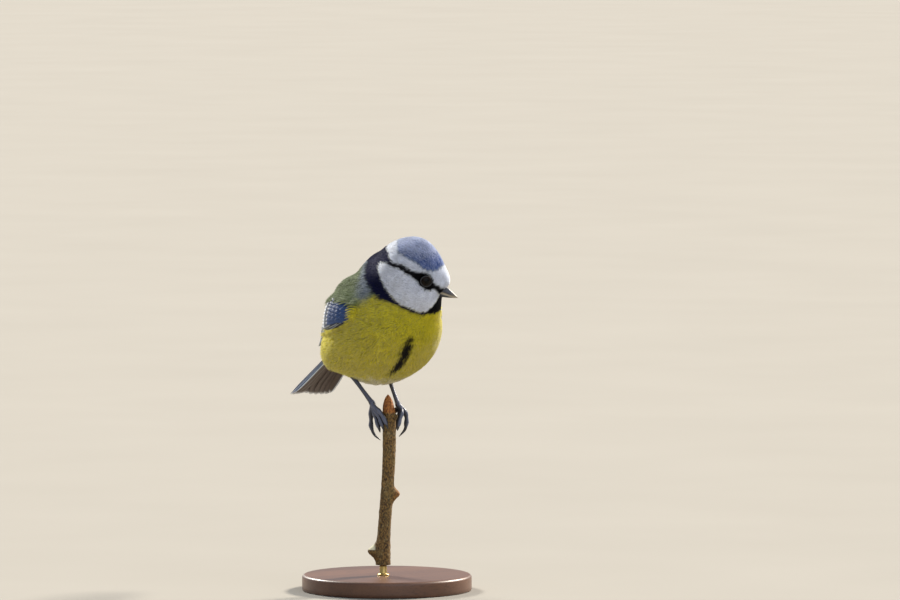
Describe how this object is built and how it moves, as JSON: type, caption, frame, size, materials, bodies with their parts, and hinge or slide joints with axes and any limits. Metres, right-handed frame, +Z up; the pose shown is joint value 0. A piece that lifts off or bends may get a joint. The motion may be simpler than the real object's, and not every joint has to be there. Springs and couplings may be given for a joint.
{
  "type": "small perching bird model",
  "caption": "Life-size still model of a blue tit gripping the top of a cut twig, held by a plain round base and short rod.",
  "frame": {"origin": "centre of the stand base's flat underside", "axes": "+Z up; the bird's body faces -Y; +X is the bird's left side"},
  "size_m": [0.064, 0.0892, 0.1343],
  "materials": {
    "crown_plumage": "soft blue and white head feathers",
    "neck_plumage": "blue-black collar feathers",
    "breast_plumage": "soft yellow breast feathers and olive back feathers",
    "flight_feather": "smooth blue-grey wing feathers",
    "tail_feather": "smooth blue-grey tail feathers",
    "eye": "wet dark brown",
    "bill_horn": "satin dark horn",
    "leg_skin": "scaly blue-grey leg skin",
    "claw_horn": "satin dark horn",
    "bark": "olive-brown twig bark",
    "stand_wood": "dark turned wood, satin varnish",
    "stand_metal": "brushed brass"
  },
  "bodies": {
    "root": {"bill_lower": "bill_horn", "bill_upper": "bill_horn", "claw_left_1": "claw_horn", "claw_left_2": "claw_horn", "claw_left_3": "claw_horn", "claw_left_4": "claw_horn", "claw_right_1": "claw_horn", "claw_right_2": "claw_horn", "claw_right_3": "claw_horn", "claw_right_4": "claw_horn", "eye_left": "eye", "eye_right": "eye", "foot_left": "leg_skin", "foot_right": "leg_skin", "head": "crown_plumage", "leg_left": "leg_skin", "leg_right": "leg_skin", "neck": "neck_plumage", "stand_base": "stand_wood", "stand_rod": "stand_metal", "tail": "tail_feather", "torso": "breast_plumage", "twig": "bark", "wing_left": "flight_feather", "wing_right": "flight_feather"}
  },
  "joints": []
}
